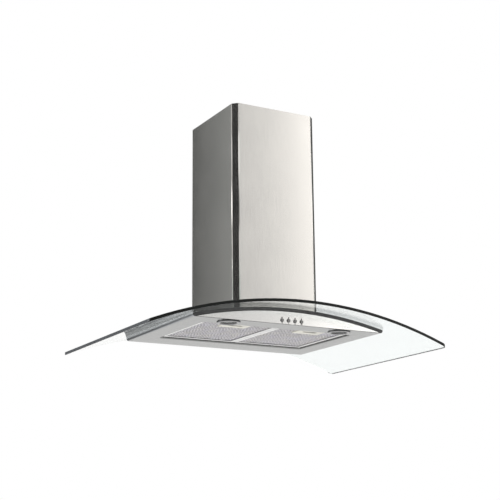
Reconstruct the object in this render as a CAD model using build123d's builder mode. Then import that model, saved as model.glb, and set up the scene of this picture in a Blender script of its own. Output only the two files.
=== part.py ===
from build123d import *
from math import asin, cos, degrees, radians, sin, sqrt
import os

# Island range hood: a chimney hangs from the ceiling and carries a flat extraction body
# under a curved glass canopy.
# Millimetres. X to the right, -Y to the front (the side with the buttons), +Z up.
# Origin: middle of the ceiling plate's top face, on the axis of the exhaust duct.

os.makedirs("parts", exist_ok=True)

# ---------------------------------------------------------------- driving dimensions
# whole hood
HOOD_HEIGHT = 631.0  # ceiling down to the flat underside of the body
CANOPY_SHIFT = 10.0  # middle of the glass and body, behind the duct axis
SHEET = 1.0  # stainless sheet
HEIGHT_TRAVEL = 380.0  # how far the hood half can be let down on its posts

# curved glass
GLASS_WIDTH = 900.0
GLASS_DEPTH = 590.0
GLASS_THICK = 8.0
GLASS_LOWER_R = 1217.0  # radius of the lower face, bent about an axis along Y
GLASS_APEX = 44.8  # lower face at the middle, above the underside
GLASS_CORNER_R = 14.0
GLASS_EDGE_R = 1.5

# extraction body
BODY_WIDTH = 586.0
BODY_DEPTH = 426.0
BODY_ROLL_R = 7.0  # the underside sheet rolls up into the sides
BAND_HEIGHT = 10.3  # dark carrier frame and cover under the glass
BAND_WIDTH = 20.0
REBATE = 3.0  # rim of the frame outside the cover
ROLL_GAP = 0.2  # between the rolled sheet and the frame inside it
WALL_INSET = 8.0  # front and rear wall stop short of the rolled sides
COVER_UNDER_GLASS = 1.3  # lower face of the cover, below the glass
KEEPER = (18.0, 2.4, 1.4)  # latch keepers in the front of the collar

# chimney
CHIMNEY_WIDTH = 265.0
CHIMNEY_DEPTH = 263.0
CHIMNEY_CHAMFER = 15.0  # at the two front corners
CHIMNEY_BACK_CHAMFER = 3.0
UPPER_CHIMNEY_LENGTH = 480.0
SLIDE_GAP = 0.5

# ceiling plate and posts
PLATE_THICK = 3.0
PLATE_RIM = 18.0
DUCT_OPENING = 190.0
CEILING_BOLT_X = 150.0
CEILING_BOLT_Y = 216.0
CEILING_BOLT_R = 4.0
POST_LEG = 20.0
POST_THICK = 2.0
UPPER_POST_CORNER = (121.0, 120.0)
UPPER_POST_LENGTH = 557.0
BRACE_HEIGHT = 20.0
BRACE_WALL = 2.0

# filter opening in the underside
OPENING_WIDTH = 460.0
OPENING_DEPTH = 274.0
OPENING_CORNER_R = 8.0
LIP_R = 3.0  # rounded edge where the underside turns up into the collar
COLLAR_HEIGHT = 9.6
COLLAR_FLANGE = 7.0

# grease filters
FILTER_WIDTH = 225.5
FILTER_DEPTH = 266.5
FILTER_HEIGHT = 9.0
FILTER_RAIL = 10.5
FILTER_RECESS = 4.5  # filter face above the underside
FILTER_MIDDLE_Y = -1.25
FILTER_GAP = 2.0  # between the two filters

# filter latches
LATCH_X = 116.5
LATCH_Y = -100.0
LATCH_PLATE = (82.0, 48.0)
LATCH_SLOT = (44.0, 12.0)
LATCH_TRAY_HEIGHT = 7.4
LATCH_TRAY_WALL = 1.5
LATCH_TONGUE = (12.0, 36.4, 1.5)

# lamps
LAMP_X = 171.5
LAMP_Y = -167.5
LAMP_BEZEL_R = 31.5
LAMP_HOLE_R = 26.0
LAMP_PROUD = 3.6
LAMP_EYE_R = 21.8  # clear opening inside the bezel

# push buttons and indicators
BUTTON_PITCH = 20.0
BUTTON_R = 4.8
BUTTON_HEIGHT = 10.8  # above the underside
BUTTON_PROUD = 2.6
BUTTON_TRAVEL = 2.0
INDICATOR_HEIGHT = 18.0
INDICATOR_R = 1.5

# blower
IMPELLER_R = 65.0
IMPELLER_EYE_R = 54.0
IMPELLER_HALF_WIDTH = 50.0
IMPELLER_RING = 2.0  # rings at the blades' ends
HUB_R = 11.0
HUB_LENGTH = 18.0
HUB_START = -12.0  # hub's left end, from the middle of the blower
SHAFT_R = 4.0
SHAFT_LENGTH = 58.0
MOTOR_R = 30.0
MOTOR_END = 61.5
BLADE_COUNT = 30
BLOWER_Y = 12.0
BLOWER_HEIGHT = 164.0  # impeller axis above the underside
SCROLL_START_R = 76.0
SCROLL_STEP = 10.0  # growth of the scroll's radius for each quarter turn
SCROLL_WALL = 2.0
SCROLL_HALF_WIDTH = 60.0
SCROLL_OUTLET_HEIGHT = 105.0  # outlet rim above the impeller axis
INLET_R = 55.3
INLET_FLANGE_R = 64.0
INLET_THROAT_R = 47.5
COLLAR_OUTER_R = 74.5  # fits a 150 mm duct
COLLAR_WALL = 1.5
COLLAR_LENGTH = 60.0
TRANSITION_HEIGHT = 65.0
FLAP_HINGE_X = 4.5
FLAP_PIN_R = 1.8
FLAP_THICK = 1.2

# air cut-out through cover and glass
AIR_CUT = 190.0
AIR_CUT_R = 15.0
GLASS_BOLT = (107.0, 106.0)
GLASS_BOLT_R = 3.0
CRADLE_Y = (-52.0, 66.0)  # bars under the blower's feet
CRADLE_THICK = 3.0
BASE_SIZE = (244.0, 242.0)
GASKET_THICK = 1.1

# junction box beside the duct
JUNCTION_BOX = (23.0, 110.0, 62.0)
JUNCTION_X = -103.0
JUNCTION_WALL = 2.0
GLAND_AT = (-104.0, 30.0)
GLAND_R = 7.8

# switch block behind the front panel
SWITCH_BLOCK = (92.0, 16.8, 19.0)

# ------------------------------------------------------------------- derived levels
UNDER = -HOOD_HEIGHT
GLASS_UPPER_R = GLASS_LOWER_R + GLASS_THICK
ARC_Z = UNDER + GLASS_APEX - GLASS_LOWER_R
GLASS_TOP = UNDER + GLASS_APEX + GLASS_THICK
BODY_FRONT = CANOPY_SHIFT - BODY_DEPTH / 2
BODY_BACK = CANOPY_SHIFT + BODY_DEPTH / 2
BASE_TOP = UNDER + 60.0
BLOWER_Z = UNDER + BLOWER_HEIGHT
OUTLET_Z = BLOWER_Z + SCROLL_OUTLET_HEIGHT
COLLAR_Z = OUTLET_Z + TRANSITION_HEIGHT
FILTER_Z = UNDER + FILTER_RECESS
CORNERS = [(-1, -1), (1, -1), (1, 1), (-1, 1)]
CORNER_NAMES = ["front_left", "front_right", "back_right", "back_left"]
SIDES = {"left": -1, "right": 1}


def save(piece, name):
    """Label a finished piece and write it to its own file."""
    piece.part.label = name
    export_step(piece.part, f"parts/{name}.step")


def curved_slab(r_low, r_high, half_width, y_low, y_high):
    """A strip bent about the glass's axis, between two radii."""
    angle = degrees(asin(half_width / r_low))
    with BuildPart() as slab:
        with BuildSketch(Plane.XZ.offset(-y_high)):
            with BuildLine():
                low = CenterArc((0, ARC_Z), r_low, 90 - angle, 2 * angle)
                high = CenterArc((0, ARC_Z), r_high, 90 - angle, 2 * angle)
                Line(low @ 0, high @ 0)
                Line(low @ 1, high @ 1)
            make_face()
        extrude(amount=y_high - y_low)
    return slab.part


def body_slab(r_low, r_high):
    """The same, wide and deep enough for the body's outline."""
    return curved_slab(r_low, r_high, BODY_WIDTH / 2 + 20, BODY_FRONT - 5, BODY_BACK + 5)


def arc_height(x, radius):
    """Height at x of a curve that shares the glass's axis."""
    return ARC_Z + sqrt(radius**2 - x**2)


# ------------------------------------------------------------------------ the glass
with BuildPart() as glass_canopy:
    with BuildSketch(Plane.XY.offset(UNDER - 60)):
        with Locations((0, CANOPY_SHIFT)):
            RectangleRounded(GLASS_WIDTH, GLASS_DEPTH, GLASS_CORNER_R)
        RectangleRounded(AIR_CUT, AIR_CUT, AIR_CUT_R, mode=Mode.SUBTRACT)
        with GridLocations(2 * GLASS_BOLT[0], 2 * GLASS_BOLT[1], 2, 2):
            Circle(GLASS_BOLT_R + 1.5, mode=Mode.SUBTRACT)
    extrude(amount=GLASS_TOP - UNDER + 70)
    add(
        curved_slab(
            GLASS_LOWER_R,
            GLASS_UPPER_R,
            GLASS_WIDTH / 2 + 20,
            CANOPY_SHIFT - GLASS_DEPTH / 2 - 5,
            CANOPY_SHIFT + GLASS_DEPTH / 2 + 5,
        ),
        mode=Mode.INTERSECT,
    )
    outer_faces = glass_canopy.faces().filter_by(
        lambda f: abs(f.center().X) > GLASS_WIDTH / 2 - GLASS_CORNER_R
        or abs(f.center().Y - CANOPY_SHIFT) > GLASS_DEPTH / 2 - 1
    )
    rim = outer_faces.edges().filter_by(lambda e: abs(e.tangent_at(0.5).Z) < 0.6)
    fillet(rim, radius=GLASS_EDGE_R)
save(glass_canopy, "glass_canopy")

# ---------------------------------------------------------------- body under the glass
# dark frame that carries the glass: it follows the glass's curve, its ends fill the
# rolled sides, and a rebate along its inner edge holds the cover
with BuildPart() as carrier_frame:
    inner_width = BODY_WIDTH - 2 * SHEET - 2 * ROLL_GAP
    with BuildSketch(Plane.XZ.offset(-BODY_BACK)):
        with Locations((0, UNDER + SHEET)):
            block = Rectangle(inner_width, GLASS_APEX, align=(Align.CENTER, Align.MIN))
        fillet(block.vertices().group_by(Axis.Y)[0], radius=BODY_ROLL_R - SHEET)
    extrude(amount=BODY_DEPTH)
    with BuildSketch(Plane.XY.offset(UNDER)):
        with Locations((0, CANOPY_SHIFT)):
            RectangleRounded(BODY_WIDTH - 2 * BAND_WIDTH, BODY_DEPTH - 2 * BAND_WIDTH, 2.0)
    extrude(amount=GLASS_APEX + 5, mode=Mode.SUBTRACT)
    add(body_slab(GLASS_LOWER_R - BAND_HEIGHT, GLASS_LOWER_R - 0.3), mode=Mode.INTERSECT)
    with BuildPart(mode=Mode.SUBTRACT):
        with BuildSketch(Plane.XY.offset(UNDER)):
            with Locations((0, CANOPY_SHIFT)):
                RectangleRounded(BODY_WIDTH - 2 * REBATE, BODY_DEPTH - 2 * REBATE, 4.0)
        extrude(amount=GLASS_APEX + 5)
        add(body_slab(GLASS_LOWER_R - COVER_UNDER_GLASS - 0.1, GLASS_LOWER_R + 5), mode=Mode.INTERSECT)
save(carrier_frame, "carrier_frame")

# curved cover that closes the body, directly under the glass
with BuildPart() as top_cover:
    with BuildSketch(Plane.XY.offset(UNDER)):
        with Locations((0, CANOPY_SHIFT)):
            cover_size = (BODY_WIDTH - 2 * REBATE - 0.6, BODY_DEPTH - 2 * REBATE - 0.6)
            RectangleRounded(*cover_size, 4.0)
        RectangleRounded(AIR_CUT, AIR_CUT, AIR_CUT_R, mode=Mode.SUBTRACT)
        with GridLocations(2 * GLASS_BOLT[0], 2 * GLASS_BOLT[1], 2, 2):
            Circle(GLASS_BOLT_R + 0.3, mode=Mode.SUBTRACT)
    extrude(amount=GLASS_APEX + 5)
    add(body_slab(GLASS_LOWER_R - COVER_UNDER_GLASS, GLASS_LOWER_R - 0.3), mode=Mode.INTERSECT)
save(top_cover, "top_cover")

# underside sheet: flat, rolled up at both sides to meet the glass, with the filter
# opening, whose edge turns up into a collar
with BuildPart() as underside_panel:
    with BuildSketch(Plane.XZ.offset(-BODY_BACK)):
        with Locations((0, UNDER)):
            outer = Rectangle(BODY_WIDTH, 20, align=(Align.CENTER, Align.MIN))
        fillet(outer.vertices().group_by(Axis.Y)[0], radius=BODY_ROLL_R)
    extrude(amount=BODY_DEPTH)
    with BuildSketch(Plane.XZ.offset(-BODY_BACK)):
        with Locations((0, UNDER + SHEET)):
            hollow = Rectangle(BODY_WIDTH - 2 * SHEET, 20, align=(Align.CENTER, Align.MIN))
        fillet(hollow.vertices().group_by(Axis.Y)[0], radius=BODY_ROLL_R - SHEET)
    extrude(amount=BODY_DEPTH, mode=Mode.SUBTRACT)
    add(body_slab(GLASS_LOWER_R - 60, GLASS_LOWER_R - 0.3), mode=Mode.INTERSECT)
    with BuildSketch(Plane.XY.offset(UNDER)):
        with Locations((-LAMP_X, LAMP_Y), (LAMP_X, LAMP_Y)):
            Circle(LAMP_HOLE_R)
    extrude(amount=SHEET, mode=Mode.SUBTRACT)
    with BuildSketch(Plane.XY.offset(UNDER)):
        RectangleRounded(
            OPENING_WIDTH + 2 * SHEET, OPENING_DEPTH + 2 * SHEET, OPENING_CORNER_R + SHEET
        )
    extrude(amount=COLLAR_HEIGHT)
    foot = underside_panel.edges().filter_by(
        lambda e: abs(e.center().Z - UNDER - SHEET) < 0.01
        and abs(e.center().X) < OPENING_WIDTH / 2 + 2
        and abs(e.center().Y) < OPENING_DEPTH / 2 + 2
        and e.center().Y > LAMP_Y + LAMP_HOLE_R + 1
    )
    fillet(foot, radius=LIP_R - SHEET)
    with BuildSketch(Plane.XY.offset(UNDER + COLLAR_HEIGHT - SHEET)):
        RectangleRounded(
            OPENING_WIDTH + 2 * COLLAR_FLANGE + 2,
            OPENING_DEPTH + 2 * COLLAR_FLANGE + 2,
            OPENING_CORNER_R + COLLAR_FLANGE,
        )
    extrude(amount=SHEET)
    with BuildSketch(Plane.XY.offset(UNDER)):
        RectangleRounded(OPENING_WIDTH, OPENING_DEPTH, OPENING_CORNER_R)
    extrude(amount=COLLAR_HEIGHT, mode=Mode.SUBTRACT)
    lip = underside_panel.edges().filter_by(
        lambda e: abs(e.center().Z - UNDER) < 0.01
        and abs(e.center().X) < OPENING_WIDTH / 2 + 1
        and abs(e.center().Y) < OPENING_DEPTH / 2 + 1
    )
    fillet(lip, radius=LIP_R)
    # keepers folded in from the front of the collar, one for each latch tongue
    with BuildSketch(Plane.XY.offset(UNDER + 8.0)):
        with Locations((-LATCH_X, -OPENING_DEPTH / 2 + 0.8), (LATCH_X, -OPENING_DEPTH / 2 + 0.8)):
            Rectangle(KEEPER[0], KEEPER[1])
    extrude(amount=KEEPER[2])
save(underside_panel, "underside_panel")


def end_panel(y_outer, holes):
    """A wall of the body: flat, with its top edge following the glass."""
    half = BODY_WIDTH / 2 - BODY_ROLL_R - WALL_INSET
    top_r = GLASS_LOWER_R - BAND_HEIGHT - 0.1
    angle = degrees(asin(half / top_r))
    bottom = UNDER + SHEET
    with BuildPart() as panel:
        with BuildSketch(Plane.XZ.offset(-y_outer)):
            with BuildLine():
                top = CenterArc((0, ARC_Z), top_r, 90 - angle, 2 * angle)
                Polyline(top @ 0, (half, bottom), (-half, bottom), top @ 1)
            make_face()
            if holes:
                with Locations((0, UNDER + BUTTON_HEIGHT)):
                    with GridLocations(BUTTON_PITCH, 0, 4, 1):
                        Circle(BUTTON_R + 0.3, mode=Mode.SUBTRACT)
                with Locations((0, UNDER + INDICATOR_HEIGHT)):
                    with GridLocations(BUTTON_PITCH, 0, 4, 1):
                        Circle(INDICATOR_R + 0.1, mode=Mode.SUBTRACT)
        extrude(amount=SHEET)
    return panel


front_panel = end_panel(BODY_FRONT + SHEET, holes=True)
save(front_panel, "front_panel")

rear_panel = end_panel(BODY_BACK, holes=False)
save(rear_panel, "rear_panel")

# rail that closes the gap between the two filters from above
with BuildPart() as divider_rail:
    rail_z = UNDER + FILTER_RECESS + FILTER_HEIGHT + 0.8
    rail_length = OPENING_DEPTH + 2 * COLLAR_FLANGE
    with BuildSketch(Plane.YZ.offset(-15)):
        with Locations((0, rail_z + 0.75)):
            Rectangle(rail_length, 1.5)
        with Locations((-rail_length / 2 + 3, 0), (rail_length / 2 - 3, 0)):
            with Locations((0, UNDER + COLLAR_HEIGHT)):
                Rectangle(6, rail_z - UNDER - COLLAR_HEIGHT, align=(Align.CENTER, Align.MIN))
    extrude(amount=30)
save(divider_rail, "divider_rail")

# --------------------------------------------------------- frame that stands on the glass
with BuildPart() as base_gasket:
    with BuildSketch(Plane.XY.offset(UNDER + 30)):
        Rectangle(*BASE_SIZE)
        RectangleRounded(AIR_CUT, AIR_CUT, AIR_CUT_R, mode=Mode.SUBTRACT)
        with GridLocations(2 * GLASS_BOLT[0], 2 * GLASS_BOLT[1], 2, 2):
            Circle(GLASS_BOLT_R + 2.2, mode=Mode.SUBTRACT)
    extrude(amount=40)
    gasket_low = GLASS_UPPER_R + 0.1
    gasket_high = gasket_low + GASKET_THICK
    add(curved_slab(gasket_low, gasket_high, 150, -140, 140), mode=Mode.INTERSECT)
save(base_gasket, "base_gasket")

with BuildPart() as base_frame:
    with BuildSketch(Plane.XY.offset(UNDER + 40)):
        Rectangle(*BASE_SIZE)
        RectangleRounded(AIR_CUT + 4, AIR_CUT + 4, AIR_CUT_R, mode=Mode.SUBTRACT)
        with GridLocations(2 * GLASS_BOLT[0], 2 * GLASS_BOLT[1], 2, 2):
            Circle(GLASS_BOLT_R + 0.3, mode=Mode.SUBTRACT)
    extrude(amount=BASE_TOP - UNDER - 40)
    add(
        curved_slab(GLASS_LOWER_R - 30, gasket_high + 0.1, 160, -140, 140),
        mode=Mode.SUBTRACT,
    )
    # two bars across it that carry the scroll's feet
    with BuildSketch(Plane.XY.offset(BASE_TOP)):
        with Locations((0, CRADLE_Y[0]), (0, CRADLE_Y[1])):
            Rectangle(AIR_CUT + 26, 18)
    extrude(amount=CRADLE_THICK)
save(base_frame, "base_frame")

# bolts that clamp base frame, glass and cover together
with BuildPart() as glass_bolts:
    bolt_x = GLASS_BOLT[0]
    nut_top = arc_height(bolt_x + 6, GLASS_LOWER_R - COVER_UNDER_GLASS)
    with BuildSketch(Plane.XY.offset(nut_top - 7)):
        with GridLocations(2 * GLASS_BOLT[0], 2 * GLASS_BOLT[1], 2, 2):
            Circle(GLASS_BOLT_R)
    extrude(amount=BASE_TOP - nut_top + 7)
    with BuildSketch(Plane.XY.offset(nut_top - 5)):
        with GridLocations(2 * GLASS_BOLT[0], 2 * GLASS_BOLT[1], 2, 2):
            RegularPolygon(5.5, 6)
    extrude(amount=5)
    with BuildSketch(Plane.XY.offset(BASE_TOP)):
        with GridLocations(2 * GLASS_BOLT[0], 2 * GLASS_BOLT[1], 2, 2):
            Circle(5.0)
            RegularPolygon(2.6, 6, mode=Mode.SUBTRACT)
    extrude(amount=3.5)
save(glass_bolts, "glass_bolts")

# soft sleeves that keep the bolts off the glass
with BuildPart() as glass_grommets:
    with BuildSketch(Plane.XY.offset(UNDER + 30)):
        with GridLocations(2 * GLASS_BOLT[0], 2 * GLASS_BOLT[1], 2, 2):
            Circle(GLASS_BOLT_R + 1.4)
            Circle(GLASS_BOLT_R + 0.1, mode=Mode.SUBTRACT)
    extrude(amount=40)
    add(
        curved_slab(GLASS_LOWER_R + 0.1, GLASS_UPPER_R + 0.6, 150, -140, 140),
        mode=Mode.INTERSECT,
    )
save(glass_grommets, "glass_grommets")


def angle_post(corner, signs, z_low, z_high):
    """One upright of equal angle section, its heel outwards at the corner."""
    x, y = corner[0] * signs[0], corner[1] * signs[1]
    toward_x = Align.MAX if signs[0] > 0 else Align.MIN
    toward_y = Align.MAX if signs[1] > 0 else Align.MIN
    with BuildPart() as post:
        with BuildSketch(Plane.XY.offset(z_low)):
            with Locations((x, y)):
                Rectangle(POST_LEG, POST_THICK, align=(toward_x, toward_y))
                Rectangle(POST_THICK, POST_LEG, align=(toward_x, toward_y))
        extrude(amount=z_high - z_low)
    return post


nest = POST_THICK + SLIDE_GAP
lower_corner = (UPPER_POST_CORNER[0] - nest, UPPER_POST_CORNER[1] - nest)
for corner_name, signs in zip(CORNER_NAMES, CORNERS):
    lower_post = angle_post(lower_corner, signs, BASE_TOP, -20)
    save(lower_post, f"lower_post_{corner_name}")
    upper_post = angle_post(
        UPPER_POST_CORNER, signs, -PLATE_THICK - UPPER_POST_LENGTH, -PLATE_THICK
    )
    save(upper_post, f"upper_post_{corner_name}")

# straps that tie the four lower posts together
with BuildPart() as frame_braces:
    inner = (lower_corner[0] - POST_THICK, lower_corner[1] - POST_THICK)
    for level in (-46, COLLAR_Z + 29):
        with BuildSketch(Plane.XY.offset(level)):
            Rectangle(2 * inner[0], 2 * inner[1])
            Rectangle(2 * (inner[0] - BRACE_WALL), 2 * (inner[1] - BRACE_WALL), mode=Mode.SUBTRACT)
        extrude(amount=BRACE_HEIGHT)
save(frame_braces, "frame_braces")


# --------------------------------------------------------------------- chimney shells
def chimney_outline(inset):
    """The chimney's cross-section, set in: wide chamfers in front, narrow ones behind."""
    less = inset * (2 - sqrt(2))
    with BuildSketch() as section:
        Rectangle(CHIMNEY_WIDTH - 2 * inset, CHIMNEY_DEPTH - 2 * inset)
        front = section.vertices().group_by(Axis.Y)[0]
        chamfer(front, length=CHIMNEY_CHAMFER - less)
        back = section.vertices().group_by(Axis.Y)[-1]
        chamfer(back, length=CHIMNEY_BACK_CHAMFER - less)
    return section.sketch


def chimney_tube(inset, z_low, z_high):
    """Sheet tube of the chimney's cross-section, set in from the outer chimney."""
    with BuildPart() as tube:
        with BuildSketch(Plane.XY.offset(z_low)):
            add(chimney_outline(inset))
            add(chimney_outline(inset + SHEET), mode=Mode.SUBTRACT)
        extrude(amount=z_high - z_low)
    return tube.part


with BuildPart() as lower_chimney:
    add(chimney_tube(0, UNDER + 35, -1))
    add(
        curved_slab(GLASS_LOWER_R - 40, GLASS_UPPER_R + 0.6, 180, -160, 160),
        mode=Mode.SUBTRACT,
    )
save(lower_chimney, "lower_chimney")

with BuildPart() as upper_chimney:
    add(chimney_tube(SHEET + SLIDE_GAP, -UPPER_CHIMNEY_LENGTH, 0))
save(upper_chimney, "upper_chimney")

# plate that is bolted to the ceiling; the duct rises through its middle
with BuildPart() as ceiling_plate:
    plate_inset = SHEET + SLIDE_GAP + SHEET + 0.1
    with BuildSketch(Plane.XY.offset(-PLATE_RIM)):
        add(chimney_outline(plate_inset))
    extrude(amount=PLATE_RIM)
    with BuildSketch(Plane.XY.offset(-PLATE_RIM)):
        add(chimney_outline(plate_inset + 1.5))
    extrude(amount=PLATE_RIM - PLATE_THICK, mode=Mode.SUBTRACT)
    with BuildSketch(Plane.XY.offset(-PLATE_THICK)):
        RectangleRounded(DUCT_OPENING, DUCT_OPENING, 20)
        with GridLocations(CEILING_BOLT_X, CEILING_BOLT_Y, 2, 2):
            Circle(CEILING_BOLT_R)
    extrude(amount=PLATE_THICK, mode=Mode.SUBTRACT)
save(ceiling_plate, "ceiling_plate")


# ------------------------------------------------------------------------- the blower
def scroll_face(extra, top):
    """Side view of the scroll: three quarter turns on growing radii, then the outlet."""
    half = SCROLL_STEP / 2
    y, z = BLOWER_Y, BLOWER_Z
    radii = [SCROLL_START_R + extra + n * SCROLL_STEP for n in range(3)]
    wall_front = y - half - radii[2]
    wall_back = y + half + extra
    with BuildSketch() as face:
        with BuildLine():
            first = CenterArc((y + half, z - half), radii[0], 90, -90)
            CenterArc((y - half, z - half), radii[1], 0, -90)
            last = CenterArc((y - half, z + half), radii[2], -90, -90)
            Line(last @ 1, first @ 0)
        make_face()
        with Locations((wall_front, z)):
            Rectangle(wall_back - wall_front, top - z, align=(Align.MIN, Align.MIN))
    return face.sketch


def on_scroll(x):
    """The plane of the scroll's side view, at x."""
    return Plane(origin=(x, 0, 0), x_dir=(0, 1, 0), z_dir=(1, 0, 0))


def boss_centres():
    """Centres of the screw bosses, in the scroll's side view."""
    half = SCROLL_STEP / 2
    centres = [(half, -half), (-half, -half), (-half, half)]
    points = []
    for arc, turn in BOSS_PLACES:
        reach = SCROLL_START_R + arc * SCROLL_STEP + SCROLL_WALL + BOSS_R - 2
        y = BLOWER_Y + centres[arc][0] + reach * cos(radians(turn))
        z = BLOWER_Z + centres[arc][1] + reach * sin(radians(turn))
        points.append((y, z))
    return points


# screw bosses stand on the outside of the scroll: (which arc, angle on it)
BOSS_PLACES = [(0, 45), (1, -20), (1, -70), (2, -150)]
BOSS_R = 5.0
OUTLET_FRONT = BLOWER_Y - SCROLL_STEP / 2 - SCROLL_START_R - 2 * SCROLL_STEP
OUTLET_BACK = BLOWER_Y + SCROLL_STEP / 2
OUTLET_MIDDLE = (OUTLET_FRONT + OUTLET_BACK) / 2
OUTLET_DEPTH = OUTLET_BACK - OUTLET_FRONT
OUTLET_HALF_WIDTH = SCROLL_HALF_WIDTH - SCROLL_WALL

for side_name, side in SIDES.items():
    inner_face = OUTLET_HALF_WIDTH * side
    with BuildPart() as scroll:
        with BuildSketch(on_scroll(0)):
            add(scroll_face(SCROLL_WALL, OUTLET_Z))
        extrude(amount=SCROLL_HALF_WIDTH * side)
        # outlet rim
        with BuildSketch(Plane.XY.offset(OUTLET_Z - 3)):
            with Locations((0, OUTLET_MIDDLE)):
                Rectangle(
                    SCROLL_HALF_WIDTH + 6,
                    OUTLET_DEPTH + 16,
                    align=(Align.MIN if side > 0 else Align.MAX, Align.CENTER),
                )
        extrude(amount=3)
        # feet that stand on the base frame's bars
        foot_x = side * (SCROLL_HALF_WIDTH - 6)
        with BuildSketch(Plane.XY.offset(BASE_TOP + CRADLE_THICK)):
            with Locations((foot_x, CRADLE_Y[0]), (foot_x, CRADLE_Y[1])):
                Rectangle(12, 16)
        extrude(amount=60)
        # screw bosses along the joint between the halves
        with BuildSketch(on_scroll(0)):
            with Locations(*boss_centres()):
                Circle(BOSS_R)
        extrude(amount=14 * side)
        with BuildSketch(on_scroll(0)):
            add(scroll_face(0, OUTLET_Z + 1))
        extrude(amount=inner_face, mode=Mode.SUBTRACT)
        with BuildSketch(on_scroll(0)):
            with Locations((BLOWER_Y, BLOWER_Z)):
                Circle(INLET_R)
            with Locations(*boss_centres()):
                Circle(1.5)
        extrude(amount=(SCROLL_HALF_WIDTH + 1) * side, mode=Mode.SUBTRACT)
    save(scroll, f"scroll_half_{side_name}")

    # bell-mouthed ring in the inlet
    with BuildPart() as inlet_ring:
        edge_x = side * SCROLL_HALF_WIDTH
        with BuildSketch(Plane(origin=(edge_x, BLOWER_Y, BLOWER_Z), x_dir=(side, 0, 0), z_dir=(0, -side, 0))):
            with BuildLine():
                bell_r = INLET_THROAT_R + 7.5
                flange = Line((1.5, INLET_FLANGE_R), (1.5, bell_r))
                CenterArc((-6, bell_r), 7.5, 0, -90)
                Line((-6, INLET_THROAT_R), (-6, INLET_THROAT_R + 1.5))
                back = CenterArc((-6, bell_r), 6, -90, 90)
                Polyline(back @ 1, (0, INLET_FLANGE_R), flange @ 0)
            make_face()
        revolve(axis=Axis((0, BLOWER_Y, BLOWER_Z), (1, 0, 0)))
    save(inlet_ring, f"inlet_ring_{side_name}")

# one forward-curved blade, in the plane across the axis
with BuildSketch() as blade:
    with BuildLine():
        root = Vector(IMPELLER_EYE_R, 0)
        lead = radians(7.5)
        tip = Vector(IMPELLER_R - 0.5, 0).rotate(Axis.Z, degrees(lead))
        belly = RadiusArc(root, tip, -13)
        tip_end = Vector(IMPELLER_R - 0.5, 0).rotate(Axis.Z, degrees(lead) + 0.9)
        root_end = Vector(IMPELLER_EYE_R, 0).rotate(Axis.Z, 1.1)
        Line(tip, tip_end)
        RadiusArc(tip_end, root_end, 13)
        Line(root_end, root)
    make_face()

axis_plane = Plane(origin=(0, BLOWER_Y, BLOWER_Z), x_dir=(0, 1, 0), z_dir=(1, 0, 0))
blade_half = IMPELLER_HALF_WIDTH - IMPELLER_RING
with BuildPart() as impeller_blades:
    with BuildSketch(axis_plane.offset(-blade_half)):
        with PolarLocations(0, BLADE_COUNT):
            add(blade.sketch)
    extrude(amount=2 * blade_half)
save(impeller_blades, "impeller_blades")

with BuildPart() as impeller:
    # rings that hold the blades' ends
    for ring_x in (-IMPELLER_HALF_WIDTH, blade_half):
        with BuildSketch(axis_plane.offset(ring_x)):
            Circle(IMPELLER_R)
            Circle(IMPELLER_EYE_R, mode=Mode.SUBTRACT)
        extrude(amount=IMPELLER_RING)
    # middle disc inside the blades, with its hub
    with BuildSketch(axis_plane.offset(-1)):
        Circle(IMPELLER_EYE_R - 0.02)
    extrude(amount=2)
    with BuildSketch(axis_plane.offset(HUB_START)):
        Circle(HUB_R)
    extrude(amount=HUB_LENGTH)
    with BuildSketch(axis_plane.offset(HUB_START)):
        Circle(SHAFT_R)
    extrude(amount=HUB_LENGTH, mode=Mode.SUBTRACT)
save(impeller, "impeller")

with BuildPart() as motor_shaft:
    with BuildSketch(axis_plane.offset(HUB_START)):
        Circle(SHAFT_R)
    extrude(amount=SHAFT_LENGTH)
    chamfer(motor_shaft.faces().sort_by(Axis.X)[0].edges(), length=0.8)
save(motor_shaft, "motor_shaft")

# motor inside the right half of the impeller
with BuildPart() as motor:
    with BuildSketch(Plane(origin=(0, BLOWER_Y, BLOWER_Z), x_dir=(1, 0, 0), z_dir=(0, -1, 0))):
        with BuildLine():
            Polyline(
                (10, SHAFT_R + 0.06),
                (10, 11),
                (14, 14),
                (16, MOTOR_R - 4),
                (20, MOTOR_R),
                (52, MOTOR_R),
                (56, MOTOR_R - 4),
                (MOTOR_END, 22),
                (MOTOR_END, 0),
                (47, 0),
                (47, SHAFT_R + 0.06),
                close=True,
            )
        make_face()
    revolve(axis=Axis((0, BLOWER_Y, BLOWER_Z), (1, 0, 0)))
save(motor, "motor")

# three-armed bracket from the motor to the right-hand inlet
with BuildPart() as motor_bracket:
    with BuildSketch(axis_plane.offset(SCROLL_HALF_WIDTH + 1.5)):
        Circle(24)
        with PolarLocations(0, 3, start_angle=90):
            Rectangle(66, 12, align=(Align.MIN, Align.CENTER))
        with PolarLocations(60, 3, start_angle=90):
            Circle(2.2, mode=Mode.SUBTRACT)
    extrude(amount=2.5)
save(motor_bracket, "motor_bracket")


def transition(extra):
    """Square-to-round duct between the scroll's outlet and the collar."""
    half_x = OUTLET_HALF_WIDTH + extra
    half_y = OUTLET_DEPTH / 2 + extra
    radius = COLLAR_OUTER_R - COLLAR_WALL + extra
    with BuildPart() as hull:
        with BuildSketch(Plane.XY.offset(OUTLET_Z)):
            with BuildLine():
                Polyline(
                    (half_x, OUTLET_MIDDLE + half_y),
                    (-half_x, OUTLET_MIDDLE + half_y),
                    (-half_x, OUTLET_MIDDLE - half_y),
                    (half_x, OUTLET_MIDDLE - half_y),
                    close=True,
                )
            make_face()
        with BuildSketch(Plane.XY.offset(COLLAR_Z)):
            with BuildLine():
                for quarter in range(4):
                    CenterArc((0, 0), radius, 45 + 90 * quarter, 90)
            make_face()
        loft(ruled=True)
    return hull.part


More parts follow.
